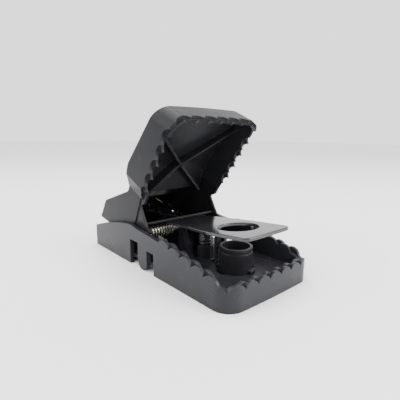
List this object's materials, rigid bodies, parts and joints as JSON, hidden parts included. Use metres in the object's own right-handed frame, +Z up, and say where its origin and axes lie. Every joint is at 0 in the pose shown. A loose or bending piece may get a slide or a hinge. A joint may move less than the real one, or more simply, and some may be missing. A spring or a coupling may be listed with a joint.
{
  "type": "snap mouse trap",
  "caption": "Snap mouse trap set open: toothed tray, sprung toothed jaw with lever tail, pivoting trigger plate with a bait hole, and a removable bait cup.",
  "frame": {"origin": "on the ground, at the middle of the tray's footprint", "axes": "+X out of the mouth, +Y to the left when looking out of the mouth, +Z up"},
  "size_m": [0.098, 0.048, 0.068],
  "materials": {
    "tray_plastic": "semi-matt black moulded plastic",
    "jaw_plastic": "semi-matt black moulded plastic",
    "plate_plastic": "glossy black moulded plastic",
    "cup_plastic": "matt black moulded plastic",
    "pin_steel": "drawn steel",
    "spring_steel": "oiled spring wire",
    "return_spring_steel": "bright spring wire"
  },
  "bodies": {
    "tray": {"base_tray": "tray_plastic", "pivot_pin": "pin_steel", "trigger_pin": "pin_steel", "torsion_spring_near": "spring_steel", "torsion_spring_far": "spring_steel", "return_spring": "return_spring_steel"},
    "jaw": {"upper_jaw": "jaw_plastic"},
    "trigger": {"trigger_plate": "plate_plastic"},
    "cup": {"bait_cup": "cup_plastic"}
  },
  "joints": [
    {"name": "jaw_close", "type": "hinge", "parent": "tray", "child": "jaw", "pos_m": [-0.008, 0, 0.0137], "axis": [0, 1, 0], "range_deg": [0, 66], "deforming": ["torsion_spring_near", "torsion_spring_far"]},
    {"name": "trigger_press", "type": "hinge", "parent": "tray", "child": "trigger", "pos_m": [0, 0, 0.0163], "axis": [0, 1, 0], "range_deg": [0, 11.3], "deforming": ["return_spring"]},
    {"name": "cup_twist", "type": "hinge", "parent": "tray", "child": "cup", "pos_m": [0.0293, 0, 0], "axis": [0, 0, 1], "range_deg": [0, 55]}
  ],
  "couplings": [
    {"joint": "trigger_press", "follows": "jaw_close", "ratio": 0.17}
  ]
}
